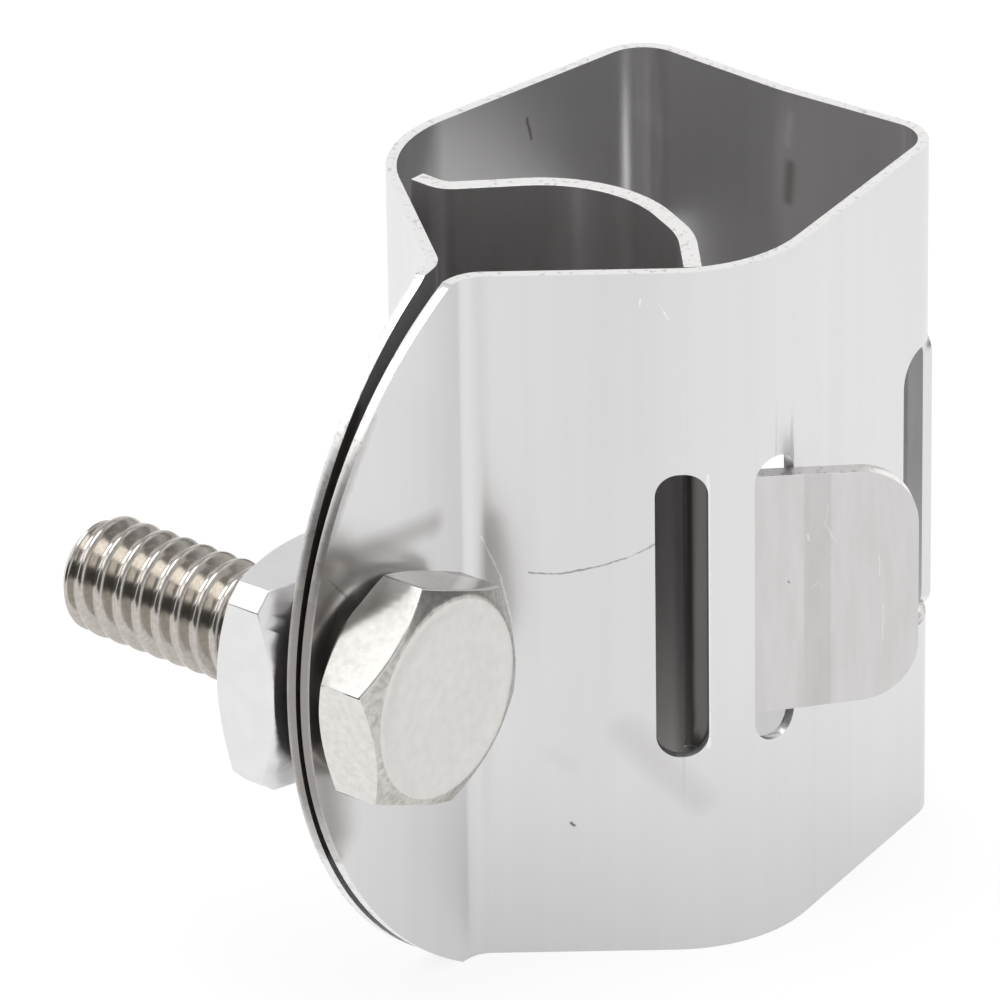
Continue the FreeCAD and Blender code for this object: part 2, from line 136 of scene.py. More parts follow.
class Tone(Enum):
    """What a mark does to the steel, by the sRGB hex that it tends to: real scuffs, grime and nicks,
    and also painted shade and painted highlights.
    """

    # Dull scuffs, and also painted shade.
    DULL_AND_SHADE = "6E6A66"
    # Brown grime, and also painted shade.
    GRIME_AND_SHADE = "5B4F45"
    # Painted shade only, dark and warm.
    PAINTED_SHADE = "3A3734"
    # Bright nicks and scratches, and also painted highlights.
    BRIGHT_AND_HIGHLIGHT = "FFFFFF"


@dataclass(frozen=True)
class Mark:
    """A scratch, scuff or smudge, or a painted shade or highlight, along a line of points on a
    surface.

    Points and width are in millimetres in the clip's frame. Soft is the share
    of the width over which the mark fades.
    """

    points: tuple[Point, ...]
    width: float
    strength: float
    tone: Tone = Tone.DULL_AND_SHADE
    soft: float = 1.0

    def mask(self, tree: bpy.types.NodeTree, position: Socket) -> Socket:
        """Build the mark's soft mask.

        Args:
            tree: the material's node tree.
            position: the surface point, in metres.

        Returns:
            A value from 0 away from the mark to its strength on it.
        """
        nearest = None
        for start, end in zip(self.points, self.points[1:]):
            away = self.distance(tree, position, Vector(start) * MM, Vector(end) * MM)
            nearest = away if nearest is None else add_node(
                tree, "ShaderNodeMath", {0: nearest, 1: away}, operation="MINIMUM").outputs[0]
        fade = add_node(tree, "ShaderNodeMapRange", {
            "Value": nearest, "From Min": self.width * (1.0 - self.soft) * MM,
            "From Max": self.width * MM,
            "To Min": self.strength, "To Max": 0.0}, interpolation_type="SMOOTHSTEP")
        return fade.outputs[0]

    def distance(self, tree: bpy.types.NodeTree, position: Socket, start: Vector,
                 end: Vector) -> Socket:
        """Distance from a surface point to one stretch of the mark, in metres.

        Args:
            tree: the material's node tree.
            position: the surface point.
            start: one end of the stretch.
            end: its other end.

        Returns:
            The distance.
        """
        d = end - start
        arm = add_node(tree, "ShaderNodeVectorMath", {0: position, 1: start},
                       operation="SUBTRACT")
        along = add_node(tree, "ShaderNodeVectorMath", {0: arm.outputs[0], 1: d / d.length_squared},
                         operation="DOT_PRODUCT")
        held = add_node(tree, "ShaderNodeClamp", {0: along.outputs["Value"]})
        foot = add_node(tree, "ShaderNodeVectorMath", {0: d, "Scale": held.outputs[0]},
                        operation="SCALE")
        away = add_node(tree, "ShaderNodeVectorMath", {0: arm.outputs[0], 1: foot.outputs[0]},
                        operation="DISTANCE")
        return away.outputs["Value"]


@dataclass(frozen=True)
class SteelFinish:
    """A stainless steel surface as its making left it.

    Attributes:
        name: the finish in a maker's words.
        colour: sRGB hex of the clean metal.
        shade: sRGB hex of its duller streaks.
        roughness: spread of its reflections.
        haze: share of the light that its fine pits scatter evenly.
        streak_mm: width of the streaks that rolling or drawing left.
        streak_run: how many times longer than wide a streak is.
        dent_mm: size of the shallow waves in the surface.
        wave: height of those waves, in millimetres.
        grain: height of the streaks, in millimetres.
        sheared: whether the sheet's cut rims show torn metal.
        marks: scratches and scuffs that the surface has, and the painted shade and highlights laid on
            it.
    """

    name: str
    colour: str
    shade: str
    roughness: float
    haze: float = 0.0
    streak_mm: float = 0.5
    streak_run: float = 30.0
    dent_mm: float = 5.0
    wave: float = 0.01
    grain: float = 0.0
    sheared: bool = False
    marks: tuple[Mark, ...] = ()

    def material(self) -> bpy.types.Material:
        """Build the finish.

        Returns:
            A material that needs no image and no unwrapped mesh.
        """
        material = bpy.data.materials.new(self.name)
        material.use_nodes = True
        tree = material.node_tree
        shader = tree.nodes["Principled BSDF"]
        shader.inputs["Metallic"].default_value = 1.0 - self.haze
        position = add_node(tree, "ShaderNodeTexCoord").outputs["Object"]
        streaks = self.streaks(tree, position)
        waves = add_node(tree, "ShaderNodeTexNoise", {
            "Vector": position, "Scale": 1.0 / (self.dent_mm * MM), "Detail": 1.5,
            "Roughness": 0.5}).outputs["Fac"]
        share = add_node(tree, "ShaderNodeMapRange", {
            "Value": streaks, "From Min": STREAK_SPAN[0], "From Max": STREAK_SPAN[1]})
        tint = add_node(tree, "ShaderNodeMix", {
            "Factor": share.outputs[0], "A": linear(self.colour), "B": linear(self.shade)},
            data_type="RGBA").outputs["Result"]
        rough = add_node(tree, "ShaderNodeMapRange", {
            "Value": waves, "From Min": WAVE_SPAN[0], "From Max": WAVE_SPAN[1],
            "To Min": self.roughness * (1.0 - ROUGHNESS_SWING),
            "To Max": self.roughness * (1.0 + ROUGHNESS_SWING)}).outputs[0]
        if self.marks:
            tint = self.marked(tree, position, tint)
        if self.sheared:
            tint, rough = self.torn_rims(tree, position, tint, rough)
        tree.links.new(tint, shader.inputs["Base Color"])
        tree.links.new(rough, shader.inputs["Roughness"])
        relief = add_node(tree, "ShaderNodeBump", {
            "Strength": 1.0, "Distance": self.wave * MM, "Height": waves})
        if self.grain:
            relief = add_node(tree, "ShaderNodeBump", {
                "Strength": 1.0, "Distance": self.grain * MM, "Height": streaks,
                "Normal": relief.outputs[0]})
        tree.links.new(relief.outputs[0], shader.inputs["Normal"])
        return material

    def streaks(self, tree: bpy.types.NodeTree, position: Socket) -> Socket:
        """Noise drawn out along the clip's height.

        Args:
            tree: the material's node tree.
            position: the surface point, in metres.

        Returns:
            A value about 0.5.
        """
        fine = 1.0 / (self.streak_mm * MM)
        drawn = add_node(tree, "ShaderNodeVectorMath", {
            0: position, 1: (fine, fine, fine / self.streak_run)}, operation="MULTIPLY")
        noise = add_node(tree, "ShaderNodeTexNoise", {
            "Vector": drawn.outputs[0], "Scale": 1.0, "Detail": 3.0, "Roughness": 0.6})
        return noise.outputs["Fac"]

    def marked(self, tree: bpy.types.NodeTree, position: Socket, tint: Socket) -> Socket:
        """Lay the finish's marks over its colour.

        Args:
            tree: the material's node tree.
            position: the surface point, in metres.
            tint: the clean colour.

        Returns:
            The colour with its marks.
        """
        bites = add_node(tree, "ShaderNodeTexNoise", {
            "Vector": position, "Scale": 1.0 / (BITE_MM * MM), "Detail": 3.0})
        off = add_node(tree, "ShaderNodeVectorMath", {
            0: bites.outputs["Color"], 1: (0.5, 0.5, 0.5)}, operation="SUBTRACT")
        off = add_node(tree, "ShaderNodeVectorMath", {
            0: off.outputs[0], "Scale": BITE_DEPTH_MM * MM}, operation="SCALE")
        place = add_node(tree, "ShaderNodeVectorMath", {
            0: position, 1: off.outputs[0]}, operation="ADD").outputs[0]
        for tone in Tone:
            masks = [mark.mask(tree, place) for mark in self.marks if mark.tone is tone]
            if not masks:
                continue
            total = masks[0]
            for mask in masks[1:]:
                total = add_node(tree, "ShaderNodeMath", {0: total, 1: mask},
                                 operation="MAXIMUM").outputs[0]
            tint = add_node(tree, "ShaderNodeMix", {
                "Factor": total, "A": tint, "B": linear(tone.value)},
                data_type="RGBA").outputs["Result"]
        return tint

    def torn_rims(self, tree: bpy.types.NodeTree, position: Socket, tint: Socket,
                  rough: Socket) -> tuple[Socket, Socket]:
        """Show the bright torn metal of the sheet's cut rims.

        Args:
            tree: the material's node tree.
            position: the surface point, in metres.
            tint: the colour of the rolled faces.
            rough: the roughness of the rolled faces.

        Returns:
            The colour and the roughness, each with those of the rims.
        """
        normal = add_node(tree, "ShaderNodeNewGeometry").outputs["True Normal"]
        parts = add_node(tree, "ShaderNodeSeparateXYZ", {0: normal})
        level = add_node(tree, "ShaderNodeMath", {0: parts.outputs["Z"]}, operation="ABSOLUTE")
        rim = add_node(tree, "ShaderNodeMapRange", {
            "Value": level.outputs[0], "From Min": RIM_SLOPE[0], "From Max": RIM_SLOPE[1]}).outputs[0]
        spots = add_node(tree, "ShaderNodeTexNoise", {
            "Vector": position, "Scale": 1.0 / (TEAR_MM * MM), "Detail": 4.0})
        torn = add_node(tree, "ShaderNodeMapRange", {
            "Value": spots.outputs["Fac"], "From Min": TEAR_SPAN[0], "From Max": TEAR_SPAN[1],
            "To Max": TEAR_SHARE})
        cut = add_node(tree, "ShaderNodeMix", {
            "Factor": torn.outputs[0], "A": linear(CUT_METAL), "B": linear(TORN_METAL)},
            data_type="RGBA")
        tint = add_node(tree, "ShaderNodeMix", {
            "Factor": rim, "A": tint, "B": cut.outputs["Result"]}, data_type="RGBA")
        rough = add_node(tree, "ShaderNodeMapRange", {
            "Value": rim, "To Min": rough, "To Max": CUT_ROUGHNESS})
        return tint.outputs["Result"], rough.outputs[0]


# The ears' cut rim, round the bolt, from above the bolt to below it.
EAR_ARC_RADIUS = 21.85
EAR_ARC_Y = -10.25
EAR_RIM_X = 0.3
MID_HEIGHT = 19.05
EAR_RIM_RISES = (14.0, 10.0, 5.0, 0.0, -5.0, -9.0)
EAR_RIM = tuple((EAR_RIM_X, EAR_ARC_Y - math.sqrt(EAR_ARC_RADIUS ** 2 - rise ** 2),
                 MID_HEIGHT + rise) for rise in EAR_RIM_RISES)

# Scratches and stains of the strap, from its ears round to its back wall, and painted shade and
# painted highlights among them.
STRAP_MARKS = (
    # Painted shade of the gap between the ears: a dark brown band along the front ear's rim.
    Mark(EAR_RIM, 1.0, 0.7, Tone.GRIME_AND_SHADE, soft=0.5),
    # Painted shade and painted reflection of the bolt's head: a wide dark band on the front ear
    # beside the head.
    Mark(((1.0, -30.6, 26.6), (1.0, -31.0, 22.0), (1.0, -31.4, 17.0), (1.0, -30.8, 11.5)),
         2.6, 0.6, Tone.GRIME_AND_SHADE),
    Mark(((1.0, -30.4, 25.6), (1.0, -29.2, 24.2)), 0.25, 0.7, Tone.GRIME_AND_SHADE),
    Mark(((1.0, -29.9, 23.6), (1.0, -30.6, 22.4)), 0.25, 0.7, Tone.GRIME_AND_SHADE),
    # Painted shade and painted reflection: a grey patch on the front ear above the bolt's head.
    Mark(((1.1, -30.6, 26.5), (1.2, -22.6, 25.6)), 1.1, 0.38),
    # Painted shade: the flared wall a little darker all over.
    Mark(((6.0, -16.0, -10.0), (6.0, -16.0, 50.0)), 9.0, 0.08),
    # Painted shade: the flared wall and then the side wall darker towards the bottom.
    Mark(((1.0, -20.0, -6.0), (11.0, -12.0, -6.0)), 26.0, 0.2),
    Mark(((11.8, -8.0, -5.0), (11.6, 2.0, -5.0)), 18.0, 0.12),
    # Painted shade: a darker line down the whole height of the neck's bend, and a soft darker patch
    # on the neck.
    Mark(((1.7, -19.4, -2.0), (1.7, -19.4, 40.0)), 0.8, 0.12),
    Mark(((2.1, -19.1, 24.6), (2.3, -18.9, 19.5)), 1.3, 0.2),
    Mark(((3.5, -18.0, 21.7), (4.7, -17.0, 21.6), (6.2, -15.7, 22.0), (7.4, -14.8, 22.5),
          (8.4, -13.9, 23.2)), 0.09, 0.8),
    Mark(((5.0, -16.7, 7.45), (5.1, -16.6, 7.3)), 0.14, 1.0, Tone.GRIME_AND_SHADE),
    Mark(((7.2, -14.9, 12.6), (9.9, -12.5, 8.6)), 2.2, 0.2),
    Mark(((4.4, -17.2, 11.3), (5.0, -16.7, 10.8)), 1.4, 0.12),
    Mark(((8.3, -13.7, 10.85), (8.95, -13.2, 10.85)), 0.22, 0.6, Tone.GRIME_AND_SHADE),
    Mark(((7.84, -14.4, 36.7), (7.84, -14.4, 36.0)), 0.06, 0.8, Tone.BRIGHT_AND_HIGHLIGHT),
    Mark(((8.6, -13.8, 36.4), (8.9, -13.5, 35.6)), 0.06, 0.8, Tone.BRIGHT_AND_HIGHLIGHT),
    # Painted highlight: a white line along the first slot's cut edge.
    Mark(((10.25, -12.1, 11.6), (10.25, -12.1, 26.8)), 0.17, 0.5, Tone.BRIGHT_AND_HIGHLIGHT),
    Mark(((1.7, -19.5, 23.8), (2.05, -19.2, 22.7), (2.4, -18.9, 21.6), (2.8, -18.5, 19.0)),
         0.08, 0.8, Tone.BRIGHT_AND_HIGHLIGHT),
    Mark(((-10.46, -0.5, 36.3), (-10.43, -0.2, 35.1)), 0.16, 0.7, Tone.GRIME_AND_SHADE),
    Mark(((0.7, 7.1, 36.9), (0.5, 7.1, 35.2)), 0.4, 0.45, Tone.BRIGHT_AND_HIGHLIGHT),
    Mark(((0.7, 7.1, 34.0), (0.55, 7.1, 32.1)), 0.55, 0.45, Tone.GRIME_AND_SHADE),
    # Painted highlight: a bright patch high on the back wall's inner face.
    Mark(((-8.8, 7.0, 34.6), (-7.8, 7.3, 33.6)), 1.1, 0.2, Tone.BRIGHT_AND_HIGHLIGHT),
)
# Painted shade behind the first slot, the tool's rub marks down the middle
# of the tongue, and its small nicks.
SADDLE_MARKS = (
    # Painted shade: a dark band on the saddle behind the first slot.
    Mark(((9.3, -11.8, 28.0), (9.3, -11.8, 10.0)), 1.8, 0.86, Tone.PAINTED_SHADE, soft=0.6),
    Mark(((13.3, -7.1, 28.0), (13.3, -7.1, 10.0)), 0.74, 0.14, soft=0.15),
    Mark(((13.3, -7.1, 24.4), (13.3, -7.1, 21.6)), 1.1, 0.15),
    Mark(((13.3, -7.1, 16.4), (13.3, -7.1, 12.6)), 1.2, 0.17),
    Mark(((13.1, -7.3, 19.5), (13.3, -7.05, 19.8), (13.45, -6.9, 19.4)), 0.05, 0.22, Tone.BRIGHT_AND_HIGHLIGHT),
    Mark(((12.95, -7.45, 22.5), (12.97, -7.4, 22.2)), 0.08, 0.4, Tone.BRIGHT_AND_HIGHLIGHT),
    Mark(((13.67, -6.7, 24.1), (13.56, -6.8, 23.0), (13.9, -6.4, 22.0)), 0.07, 0.2, Tone.BRIGHT_AND_HIGHLIGHT),
    Mark(((15.55, -4.6, 18.2), (15.5, -4.6, 16.2)), 0.05, 0.3, Tone.BRIGHT_AND_HIGHLIGHT),
    Mark(((15.4, -4.8, 21.6), (15.4, -4.7, 19.9)), 0.05, 0.3, Tone.BRIGHT_AND_HIGHLIGHT),
    Mark(((12.3, -8.2, 20.0), (12.32, -8.15, 19.9)), 0.08, 0.8, Tone.GRIME_AND_SHADE),
)
# Stainless strip, cold rolled and skin passed: a pale, soft mirror with the
# faintest lengthwise streaks, wider than real so that they show.
ROLLED_STRIP = SteelFinish(
    name="rolled_stainless_strip", colour="DFDEDE", shade="DCDBDB", roughness=0.29, haze=0.06,
    streak_mm=1.4, streak_run=40.0, dent_mm=7.0, wave=0.006, sheared=True, marks=STRAP_MARKS)
# The saddle is pressed from a thicker strip of the same steel, duller where
# the tool has drawn it.
PRESSED_STRIP = SteelFinish(
    name="pressed_stainless_strip", colour="D1CFCF", shade="CBC9C8", roughness=0.3, haze=0.08,
    streak_mm=0.8, streak_run=6.0, dent_mm=4.0, wave=0.006, sheared=True, marks=SADDLE_MARKS)
# The thread is rolled between dies, which burnish the steel: a warm, fairly
# sharp mirror with a fine grain, coarser than real so that it shows.
ROLLED_THREAD = SteelFinish(
    name="thread_rolled_stainless", colour="C3BEB7", shade="B2ADA6", roughness=0.17,
    streak_mm=0.25, streak_run=1.0, dent_mm=1.2, wave=0.006, grain=0.003)
# The head is cold headed in a die and its sides are trimmed bright.
TRIMMED_HEAD = SteelFinish(
    name="trimmed_stainless", colour="DEDCD9", shade="D2CFCA", roughness=0.17,
    streak_mm=0.4, streak_run=1.0, dent_mm=2.0, wave=0.01, grain=0.0015)
# The head's top keeps the die's skin, with shallow dimples.
HEADED_TOP = SteelFinish(
    name="cold_headed_stainless", colour="DAD8D5", shade="D3D1CD", roughness=0.3,
    streak_mm=0.6, streak_run=1.0, dent_mm=1.4, wave=0.02, grain=0.004)
# The die drags over the chamfer, which is left darker and torn.
DIE_CHAMFER = SteelFinish(
    name="die_dragged_stainless", colour="CFCCC8", shade="ACA8A3", roughness=0.3,
    streak_mm=0.35, streak_run=1.0, dent_mm=0.8, wave=0.015, grain=0.006)
# The nut is punched from bar and tumbled, which leaves it even and pale.
TUMBLED_NUT = SteelFinish(
    name="tumbled_stainless", colour="E5E4E5", shade="E0DFE0", roughness=0.3,
    streak_mm=1.4, streak_run=1.0, dent_mm=2.5, wave=0.004)


@dataclass
class CarriedPiece:
    """A folded sheet or the nut, carried over from the frame with its sharp edges softened.

    Attributes:
        node: the frame's node.
        slot: the record's material slot, not used.
        finish: the piece's finish.
        edge_mm: how far a sharp edge is rounded over.
        edge_angle: smallest angle that counts as an edge, in degrees.
    """

    node: str
    slot: str
    finish: SteelFinish
    edge_mm: float = 0.05
    edge_angle: float = 35.0

    def build(self, nodes: dict[str, bpy.types.Object]) -> bpy.types.Object:
        """Dress the node.

        Args:
            nodes: the frame's nodes by name.

        Returns:
            The dressed node.
        """
        piece = nodes[self.node]
        soften_edges(piece, self.edge_mm, self.edge_angle)
        dress(piece, self.finish.material())
        return piece


def soften_edges(piece: bpy.types.Object, width_mm: float, angle: float) -> None:
    """Round a piece's sharp edges with modifiers, leaving its own mesh as it is.

    Args:
        piece: a mesh object.
        width_mm: how far each edge is rounded over.
        angle: smallest angle that counts as an edge, in degrees.
    """
    weld = piece.modifiers.new("weld", "WELD")
    weld.merge_threshold = FRAME_WELD
    flat = piece.modifiers.new("flat_faces", "DECIMATE")
    flat.decimate_type = "DISSOLVE"
    flat.angle_limit = math.radians(FLAT_ANGLE)
    bevel = piece.modifiers.new("edges", "BEVEL")
    bevel.width = width_mm * MM
    bevel.segments = EDGE_STEPS
    bevel.limit_method = "ANGLE"
    bevel.angle_limit = math.radians(angle)
    bevel.harden_normals = False
    normals = piece.modifiers.new("normals", "WEIGHTED_NORMAL")
    normals.keep_sharp = False
    normals.weight = NORMAL_WEIGHT


def dress(piece: bpy.types.Object, material: bpy.types.Material) -> None:
    """Give a piece one material and smooth shading.

    Args:
        piece: a mesh object.
        material: the material for all of it.
    """
    piece.data.materials.clear()
    piece.data.materials.append(material)
    for polygon in piece.data.polygons:
        polygon.use_smooth = True


class BoltFace(Enum):
    """Which of its finishes a face of the bolt has, by its material's number."""

    TOP = 0
    CHAMFER = 1
    SIDES = 2
    THREAD = 3


@dataclass
class HexBolt:
    """Cold-headed bolt with a chamfered hexagon, a washer face and a rolled thread.

    Lengths are in millimetres and angles in degrees. The axis, the tip of the
    thread, the top of the head and its seat are read from the frame by build.
    """

    node: str = "hex_bolt"
    body: str = "bolt"
    slot: str = "bolt_steel"
    pitch: float = 1.27
    crest_radius: float = 3.1
    thread_depth: float = 0.70
    crest_share: float = 0.15
    root_share: float = 0.80
    tip_chamfer: float = 0.75
    tip_dish: float = 0.25
    across_flats: float = 11.11
    corner_round: float = 0.15
    head_height: float = 4.0
    washer_height: float = 0.45
    washer_radius: float = 5.15
    top_radius: float = 5.28
    under_radius: float = 5.5
    chamfer_angle: float = 30.0
    head_turn: float = 39.0
    edge_round: float = 0.09
    edge_share: float = 0.35
    chamfer_ease: float = 0.12
    chamfer_shares: tuple[float, ...] = (0.25, 0.5, 0.75, 1.0)
    dish_rings: tuple[float, ...] = (0.0, 0.8, 2.2, 3.6)
    dish_radius: float = 4.55
    dish_lip: float = 0.2
    dish_depth: float = 0.06
    neck_ring: float = 0.25
    flank_round: float = 0.18
    column_step: float = 4.0
    corner_steps: tuple[float, ...] = (-0.67, -0.45, -0.22, 0.0, 0.22, 0.45, 0.67)
    thread_steps: tuple[float, ...] = (0.0, 0.052, 0.08, 0.16, 0.235, 0.31, 0.385, 0.43,
                                       0.5, 0.57, 0.615, 0.69, 0.765, 0.84, 0.92, 0.948)
    axis: Vector = field(init=False)
    tip: float = field(init=False)
    top: float = field(init=False)
    seat: float = field(init=False)

    def build(self, nodes: dict[str, bpy.types.Object]) -> bpy.types.Object:
        """Make the bolt in place of the frame's plain one.

        Args:
            nodes: the frame's nodes by name.

        Returns:
            The threaded bolt.
        """
        low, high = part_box(self.node)
        self.axis = (low + high) / 2.0 / MM
        self.tip = low.x / MM
        self.top = high.x / MM
        self.seat = self.top - self.head_height
        piece = self.mesh(self.head_rows() + self.thread_rows())
        for finish in (HEADED_TOP, DIE_CHAMFER, TRIMMED_HEAD, ROLLED_THREAD):
            piece.data.materials.append(finish.material())
        normals = piece.modifiers.new("normals", "WEIGHTED_NORMAL")
        normals.keep_sharp = False
        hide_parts(self.node)
        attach(piece, self.body)
        return piece

    def mesh(self, rows: list[tuple[BoltFace, Row]]) -> bpy.types.Object:
        """Skin rows about the axis into one closed mesh.

        Args:
            rows: each row, after the finish of the faces that lead to it.

        Returns:
            The new object.
        """
        bm = bmesh.new()
        columns = self.columns()
        before: list[bmesh.types.BMVert] = []
        for face, row in rows:
            verts = [bm.verts.new((x * MM, (self.axis.y + radius * math.cos(angle)) * MM,
                                   (self.axis.z + radius * math.sin(angle)) * MM))
                     for angle, (x, radius) in zip(columns, row)]
            for k in range(len(before) - 1):
                strip = bm.faces.new((before[k], verts[k], verts[k + 1], before[k + 1]))
                strip.material_index = face.value
                strip.smooth = True
            before = verts
        bmesh.ops.remove_doubles(bm, verts=bm.verts, dist=BOLT_WELD)
        bmesh.ops.recalc_face_normals(bm, faces=bm.faces)
        mesh = bpy.data.meshes.new("threaded_bolt")
        bm.to_mesh(mesh)
        bm.free()
        piece = bpy.data.objects.new("threaded_bolt", mesh)
        bpy.context.scene.collection.objects.link(piece)
        return piece

    def columns(self) -> list[float]:
        """Angles of the mesh's columns, close together at the hexagon's corners.

        Returns:
            The angles in radians, once round from a corner back to it.
        """
        plain = [self.column_step * k for k in range(1, round(SIDE_TURN / self.column_step))]
        side = [step for step in self.corner_steps if step >= 0.0] + plain
        side += [SIDE_TURN + step for step in self.corner_steps if step < 0.0]
        turns = [self.head_turn + SIDE_TURN * k + step for k in range(6) for step in side]
        return [math.radians(turn) for turn in turns + [self.head_turn + 360.0]]

    def outline(self, angle: float) -> float:
        """Distance from the axis to the hexagon's side, with its corners eased.

        Args:
            angle: angle about the axis, in radians.

        Returns:
            The distance.
        """
        flat = self.across_flats / 2.0
        centre = (flat - self.corner_round) / math.cos(math.radians(HALF_SIDE))
        off = abs((math.degrees(angle) - self.head_turn + HALF_SIDE) % SIDE_TURN - HALF_SIDE)
        eased_to = HALF_SIDE - math.degrees(math.atan(centre / 2.0 / flat))
        if off > eased_to:
            return flat / math.cos(math.radians(HALF_SIDE - off))
        off = math.radians(off)
        reach = self.corner_round ** 2 - (centre * math.sin(off)) ** 2
        return centre * math.cos(off) + math.sqrt(reach)

    def drop(self, radius: float) -> float:
        """How far the head's chamfer has fallen below the top.

        Args:
            radius: distance from the axis.

        Returns:
            The fall, which is 0 inside the chamfer.
        """
        slope = math.tan(math.radians(self.chamfer_angle))
        past = radius - self.top_radius
        ease = self.chamfer_ease
        if past <= -ease:
            return 0.0
        if past < ease:
            return slope * (past + ease) ** 2 / (4.0 * ease)
        return slope * past

    def head_rows(self) -> list[tuple[BoltFace, Row]]:
        """Rows of the head, from its top's middle to the root of the shank.

        Returns:
            Each row, after its finish.
        """
        top, seat, step = self.top, self.seat, self.edge_round
        start = self.top_radius - self.chamfer_ease
        under = seat + self.washer_height
        slope = math.tan(math.radians(self.chamfer_angle))
        edges = [self.outline(angle) for angle in self.columns()]

        def level(x: float, radius: float) -> Row:
            """Round row at one place along the axis."""
            return [(x, radius)] * len(edges)

        rows = [(BoltFace.TOP, level(top - self.dish_depth, radius))
                for radius in (*self.dish_rings, self.dish_radius)]
        rows += [(BoltFace.TOP, level(top, radius))
                 for radius in (self.dish_radius + self.dish_lip, start)]
        for share in self.chamfer_shares:
            radii = [start + share * (edge - step - start) for edge in edges]
            rows.append((BoltFace.CHAMFER, [(top - self.drop(r), r) for r in radii]))
        rows.append((BoltFace.SIDES, [
            (top - self.drop(edge - step) - self.edge_share * step, edge - self.edge_share * step)
            for edge in edges]))
        rows.append((BoltFace.SIDES, [(top - self.drop(edge) - step, edge) for edge in edges]))
        rows.append((BoltFace.SIDES, [
            (under + (edge - self.under_radius) * slope, edge) for edge in edges]))
        for x, radius in ((under, self.under_radius), (under, self.washer_radius),
                          (seat + step, self.washer_radius), (seat, self.washer_radius - step),
                          (seat, self.crest_radius + self.neck_ring)):
            rows.append((BoltFace.SIDES, level(x, radius)))
        return rows

    def thread_rows(self) -> list[tuple[BoltFace, Row]]:
        """Rows of the thread, each one along its helix, and of the bolt's end.

        Returns:
            Each row, after its finish.
        """
        columns = self.columns()
        rows = []
        last = math.ceil(self.seat / self.pitch)
        first = math.floor(self.tip / self.pitch) - 2
        for turn in range(last, first - 1, -1):
            for step in reversed(self.thread_steps):
                row = []
                for angle in columns:
                    x = self.pitch * (turn + step + angle / (2.0 * math.pi))
                    x = min(self.seat, max(self.tip, x))
                    row.append((x, self.thread_radius(x, angle)))
                rows.append((BoltFace.THREAD, row))
        rows.append((BoltFace.THREAD, [(self.tip + self.tip_dish, 0.0)] * len(columns)))
        return rows

    def thread_radius(self, x: float, angle: float) -> float:
        """Radius of the right-hand thread at a place along and about the axis.

        Args:
            x: place along the axis.
            angle: angle about the axis, in radians.

        Returns:
            The radius, between the thread's root and its crest.
        """
        phase = (x / self.pitch - angle / (2.0 * math.pi)) % 1.0
        off_crest = 1.0 - abs(phase - 0.5) * 2.0
        fall = (off_crest - self.crest_share) / (self.root_share - self.crest_share)
        fall = max(0.0, min(1.0, fall))
        eased = fall * fall * (3.0 - 2.0 * fall)
        fall = fall * (1.0 - self.flank_round) + self.flank_round * eased
        runout = min(1.0, max(0.0, (self.seat - x) / self.pitch))
        radius = self.crest_radius - self.thread_depth * fall * runout
        cone = self.crest_radius - self.tip_chamfer + (x - self.tip)
        return min(radius, cone)


@dataclass(frozen=True)
class Card:
    """Studio card that only reflections see.

    Lengths are in millimetres.
    """

    name: str
    centre: Point
    across: Point
    along: Point
    colour: str
    strength: float = 1.0

    def build(self) -> None:
        """Hang the card."""
        centre, across, along = (Vector(v) * MM for v in (self.centre, self.across, self.along))
        corners = [centre + across * i / 2.0 + along * j / 2.0
                   for i, j in ((-1, -1), (1, -1), (1, 1), (-1, 1))]
        mesh = bpy.data.meshes.new(self.name)
        mesh.from_pydata(corners, [], [(0, 1, 2, 3)])
        material = bpy.data.materials.new(self.name)
        material.use_nodes = True
        tree = material.node_tree
        paper = add_node(tree, "ShaderNodeEmission", {
            "Color": linear(self.colour), "Strength": self.strength})
        tree.links.new(paper.outputs[0], tree.nodes["Material Output"].inputs["Surface"])
        mesh.materials.append(material)
        card = bpy.data.objects.new(self.name, mesh)
        bpy.context.scene.collection.objects.link(card)
        card.visible_camera = False
        card.visible_diffuse = False
        card.visible_shadow = False


# What the steel mirrors: the dark room before the clip, the grey ceiling over
# it, the dark room behind it on the right, and a high window.
CARDS = (
    Card("room_front", (100.0, -600.0, 415.0), (1400.0, 0.0, 0.0), (0.0, 0.0, 770.0), "595959"),
    Card("ceiling", (100.0, -50.0, 450.0), (1300.0, 0.0, 0.0), (0.0, 1200.0, 0.0), "C4C4C4"),
    Card("room_behind", (480.0, 400.0, 170.0), (-440.0, 440.0, 0.0), (0.0, 0.0, 260.0), "606060"),
    Card("high_window", (-360.0, -326.0, 401.0), (420.0, 0.0, 0.0), (0.0, 280.0, 0.0), "FFFFFF", 1.8),
)


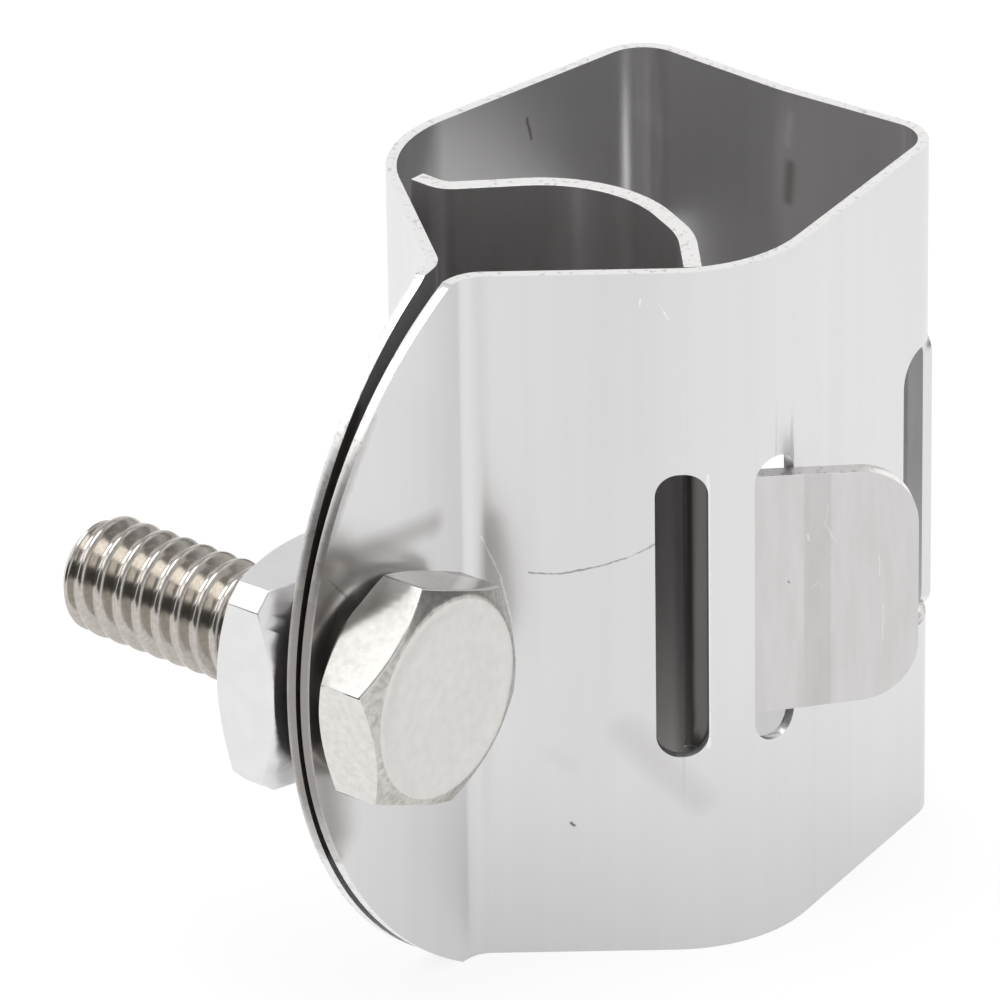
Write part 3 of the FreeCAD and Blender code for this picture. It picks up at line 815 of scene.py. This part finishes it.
@dataclass
class Studio:
    """White floor, soft lamps and the photograph's camera.

    Angles are in degrees, and lengths in millimetres where no unit is named.
    floor_seen and floor_mirrored are the shares of plain white that the camera
    and the reflections see in the floor.
    """

    azimuth: float = 39.357
    elevation: float = 26.863
    roll: float = -0.856
    distance: float = 497.0
    aim: Point = (-3.539, -11.576, 21.025)
    lens: float = 352.8
    sensor: float = 36.0
    clip_metres: tuple[float, float] = (0.01, 50.0)
    floor_half: float = 4000.0
    floor_paint: str = "F4F4F4"
    floor_roughness: float = 0.9
    floor_seen: float = 0.85
    floor_mirrored: float = 0.75
    world_strength: float = 1.0

    def build(self) -> None:
        """Make the floor, the world, the lamps and the camera."""
        self.floor()
        self.world()
        self.softbox("overhead", place=(-72.0, -38.0, 400.0), size=(450.0, 240.0), power=1.0)
        for card in CARDS:
            card.build()
        self.camera()

    def floor(self) -> None:
        """White floor that keeps a soft shadow and looks white to the camera."""
        h = self.floor_half * MM
        mesh = bpy.data.meshes.new("floor")
        mesh.from_pydata([(-h, -h, 0), (h, -h, 0), (h, h, 0), (-h, h, 0)], [], [(0, 1, 2, 3)])
        floor = bpy.data.objects.new("floor", mesh)
        bpy.context.scene.collection.objects.link(floor)
        material = bpy.data.materials.new("white_floor")
        material.use_nodes = True
        tree = material.node_tree
        paint = tree.nodes["Principled BSDF"]
        paint.inputs["Base Color"].default_value = linear(self.floor_paint)
        paint.inputs["Roughness"].default_value = self.floor_roughness
        paint.inputs["Specular IOR Level"].default_value = 0.0
        glow = add_node(tree, "ShaderNodeEmission", {"Color": linear("FFFFFF"), "Strength": 1.0})
        path = add_node(tree, "ShaderNodeLightPath")
        mirrored = add_node(tree, "ShaderNodeMath", {
            0: path.outputs["Is Glossy Ray"], 1: path.outputs["Is Transmission Ray"]},
            operation="MAXIMUM")
        mirrored = add_node(tree, "ShaderNodeMath", {
            0: mirrored.outputs[0], 1: self.floor_mirrored}, operation="MULTIPLY")
        seen = add_node(tree, "ShaderNodeMath", {
            0: path.outputs["Is Camera Ray"], 1: self.floor_seen}, operation="MULTIPLY")
        share = add_node(tree, "ShaderNodeMath", {0: seen.outputs[0], 1: mirrored.outputs[0]},
                         operation="MAXIMUM")
        both = add_node(tree, "ShaderNodeMixShader", {
            0: share.outputs[0], 1: paint.outputs[0], 2: glow.outputs[0]})
        tree.links.new(both.outputs[0], tree.nodes["Material Output"].inputs["Surface"])
        mesh.materials.append(material)

    def world(self) -> None:
        """Even white surroundings."""
        world = bpy.data.worlds.new("white_room")
        bpy.context.scene.world = world
        world.use_nodes = True
        background = world.node_tree.nodes["Background"]
        background.inputs["Color"].default_value = linear("FFFFFF")
        background.inputs["Strength"].default_value = self.world_strength

    def softbox(self, name: str, place: Point, size: tuple[float, float], power: float) -> None:
        """Add a soft oblong lamp that faces the clip.

        Args:
            name: the lamp's name.
            place: its middle, in millimetres.
            size: its two sides, in millimetres.
            power: its power, in watts.
        """
        light = bpy.data.lights.new(name, "AREA")
        light.shape = "RECTANGLE"
        light.size = size[0] * MM
        light.size_y = size[1] * MM
        light.energy = power
        lamp = bpy.data.objects.new(name, light)
        lamp.location = Vector(place) * MM
        bpy.context.scene.collection.objects.link(lamp)

    def camera(self) -> None:
        """Long-lens camera at the photograph's viewing angle."""
        a, e, t = (math.radians(v) for v in (self.azimuth, self.elevation, self.roll))
        back = Vector((math.sin(a) * math.cos(e), -math.cos(a) * math.cos(e), math.sin(e)))
        right = Vector((math.cos(a), math.sin(a), 0.0))
        up = back.cross(right)
        turned_right = right * math.cos(t) + up * math.sin(t)
        turned_up = up * math.cos(t) - right * math.sin(t)
        data = bpy.data.cameras.new("camera")
        data.lens = self.lens
        data.sensor_width = self.sensor
        data.clip_start, data.clip_end = self.clip_metres
        camera = bpy.data.objects.new("camera", data)
        bpy.context.scene.collection.objects.link(camera)
        rows = (turned_right, turned_up, back)
        matrix = camera.matrix_world.copy()
        for i, axis in enumerate(rows):
            for k in range(3):
                matrix[k][i] = axis[k]
        place = Vector(self.aim) * MM + back * self.distance * MM
        for k in range(3):
            matrix[k][3] = place[k]
        camera.matrix_world = matrix
        bpy.context.scene.camera = camera


def main() -> None:
    """Load the frame, dress each piece and set the studio."""
    logging.basicConfig(level=logging.INFO, format="%(message)s")
    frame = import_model()
    nodes = frame["nodes"]
    bpy.context.scene.view_settings.view_transform = "Standard"
    pieces = [
        CarriedPiece("clip_strap", "strap_sheet", ROLLED_STRIP),
        CarriedPiece("cable_saddle", "saddle_sheet", PRESSED_STRIP),
        CarriedPiece("square_nut", "nut_steel", TUMBLED_NUT, edge_mm=0.12),
        HexBolt(),
    ]
    for piece in pieces:
        made = piece.build(nodes)
        LOG.info("%s: %d faces", made.name, len(made.data.polygons))
    Studio().build()
    bpy.context.view_layer.update()


if __name__ == "__main__":
    main()
